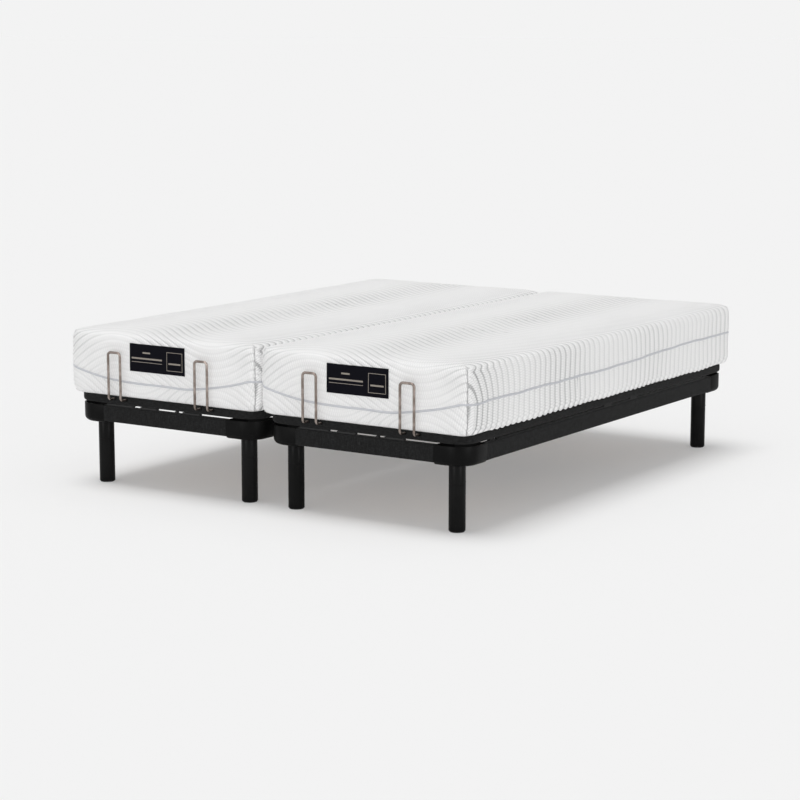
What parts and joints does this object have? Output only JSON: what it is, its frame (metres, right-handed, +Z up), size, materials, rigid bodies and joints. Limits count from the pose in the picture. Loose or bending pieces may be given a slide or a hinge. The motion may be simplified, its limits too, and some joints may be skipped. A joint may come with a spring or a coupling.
{
  "type": "adjustable bed base",
  "caption": "Side-by-side motorised slatted bed halves with hinged back, thigh and calf sections, round legs, foot retainers and mattresses.",
  "frame": {"origin": "on the floor, under the middle of the bed's overall box", "axes": "+Y towards the head end, +X to the right of someone standing at the foot end and facing the bed, +Z up"},
  "size_m": [1.803, 2.108, 0.6083],
  "materials": {
    "frame_fabric": "matte",
    "corner_plastic": "satin",
    "leg_lacquer": "satin",
    "mechanism_steel": "satin",
    "retainer_rod": "satin",
    "slat_wood": "satin",
    "motor_plastic": "matte",
    "mattress_ticking": "matte"
  },
  "bodies": {
    "base": {"left_foot_rail": "frame_fabric", "left_corner_foot_outer": "corner_plastic", "left_leg_foot_outer": "leg_lacquer", "left_corner_foot_inner": "corner_plastic", "left_leg_foot_inner": "leg_lacquer", "left_head_rail": "frame_fabric", "left_corner_head_outer": "corner_plastic", "left_leg_head_outer": "leg_lacquer", "left_corner_head_inner": "corner_plastic", "left_leg_head_inner": "leg_lacquer", "left_side_rail_outer": "frame_fabric", "left_side_rail_inner": "frame_fabric", "left_seat_frame": "frame_fabric", "left_motor_housing": "motor_plastic", "left_seat_slats": "slat_wood", "left_mattress_seat": "mattress_ticking", "right_foot_rail": "frame_fabric", "right_corner_foot_outer": "corner_plastic", "right_leg_foot_outer": "leg_lacquer", "right_corner_foot_inner": "corner_plastic", "right_leg_foot_inner": "leg_lacquer", "right_head_rail": "frame_fabric", "right_corner_head_outer": "corner_plastic", "right_leg_head_outer": "leg_lacquer", "right_corner_head_inner": "corner_plastic", "right_leg_head_inner": "leg_lacquer", "right_side_rail_outer": "frame_fabric", "right_side_rail_inner": "frame_fabric", "right_seat_frame": "frame_fabric", "right_motor_housing": "motor_plastic", "right_seat_slats": "slat_wood", "right_mattress_seat": "mattress_ticking", "link_bracket_foot": "mechanism_steel", "link_bracket_head": "mechanism_steel"},
    "left_calf": {"left_retainer_outer": "retainer_rod", "left_retainer_inner": "retainer_rod", "left_calf_frame": "frame_fabric", "left_calf_slats": "slat_wood", "left_mattress_calf": "mattress_ticking"},
    "left_back": {"left_back_frame": "frame_fabric", "left_back_slats": "slat_wood", "left_mattress_back": "mattress_ticking"},
    "left_thigh": {"left_thigh_frame": "frame_fabric", "left_thigh_slats": "slat_wood", "left_mattress_thigh": "mattress_ticking"},
    "left_back_lift": {"left_back_lift_tube": "mechanism_steel"},
    "left_leg_lift": {"left_leg_lift_tube": "mechanism_steel"},
    "right_calf": {"right_retainer_outer": "retainer_rod", "right_retainer_inner": "retainer_rod", "right_calf_frame": "frame_fabric", "right_calf_slats": "slat_wood", "right_mattress_calf": "mattress_ticking"},
    "right_back": {"right_back_frame": "frame_fabric", "right_back_slats": "slat_wood", "right_mattress_back": "mattress_ticking"},
    "right_thigh": {"right_thigh_frame": "frame_fabric", "right_thigh_slats": "slat_wood", "right_mattress_thigh": "mattress_ticking"},
    "right_back_lift": {"right_back_lift_tube": "mechanism_steel"},
    "right_leg_lift": {"right_leg_lift_tube": "mechanism_steel"}
  },
  "joints": [
    {"name": "left_back_hinge", "type": "hinge", "parent": "base", "child": "left_back", "pos_m": [-0.4515, 0.294, 0.343], "axis": [1, 0, 0], "range_deg": [0, 60], "deforming": ["left_mattress_back", "left_mattress_seat"]},
    {"name": "left_thigh_hinge", "type": "hinge", "parent": "base", "child": "left_thigh", "pos_m": [-0.4515, -0.086, 0.343], "axis": [-1, 0, 0], "range_deg": [0, 35], "deforming": ["left_mattress_thigh"]},
    {"name": "left_knee_hinge", "type": "hinge", "parent": "left_thigh", "child": "left_calf", "pos_m": [-0.4515, -0.446, 0.331], "axis": [-1, 0, 0], "range_deg": [-57, 0], "deforming": ["left_mattress_calf"]},
    {"name": "left_back_lift_shaft", "type": "hinge", "parent": "base", "child": "left_back_lift", "pos_m": [-0.4515, 0.3165, 0.304], "axis": [1, 0, 0], "range_deg": [0, 61]},
    {"name": "left_leg_lift_shaft", "type": "hinge", "parent": "base", "child": "left_leg_lift", "pos_m": [-0.4515, -0.0983, 0.304], "axis": [-1, 0, 0], "range_deg": [0, 36]},
    {"name": "right_back_hinge", "type": "hinge", "parent": "base", "child": "right_back", "pos_m": [0.4515, 0.294, 0.343], "axis": [1, 0, 0], "range_deg": [0, 60], "deforming": ["right_mattress_back", "right_mattress_seat"]},
    {"name": "right_thigh_hinge", "type": "hinge", "parent": "base", "child": "right_thigh", "pos_m": [0.4515, -0.086, 0.343], "axis": [-1, 0, 0], "range_deg": [0, 35], "deforming": ["right_mattress_thigh"]},
    {"name": "right_knee_hinge", "type": "hinge", "parent": "right_thigh", "child": "right_calf", "pos_m": [0.4515, -0.446, 0.331], "axis": [-1, 0, 0], "range_deg": [-57, 0], "deforming": ["right_mattress_calf"]},
    {"name": "right_back_lift_shaft", "type": "hinge", "parent": "base", "child": "right_back_lift", "pos_m": [0.4515, 0.3165, 0.304], "axis": [1, 0, 0], "range_deg": [0, 61]},
    {"name": "right_leg_lift_shaft", "type": "hinge", "parent": "base", "child": "right_leg_lift", "pos_m": [0.4515, -0.0983, 0.304], "axis": [-1, 0, 0], "range_deg": [0, 36]}
  ],
  "couplings": [
    {"joint": "left_knee_hinge", "follows": "left_thigh_hinge", "ratio": -1.6},
    {"joint": "left_back_lift_shaft", "follows": "left_back_hinge", "ratio": 1},
    {"joint": "left_leg_lift_shaft", "follows": "left_thigh_hinge", "ratio": 1},
    {"joint": "right_knee_hinge", "follows": "right_thigh_hinge", "ratio": -1.6},
    {"joint": "right_back_lift_shaft", "follows": "right_back_hinge", "ratio": 1},
    {"joint": "right_leg_lift_shaft", "follows": "right_thigh_hinge", "ratio": 1}
  ]
}
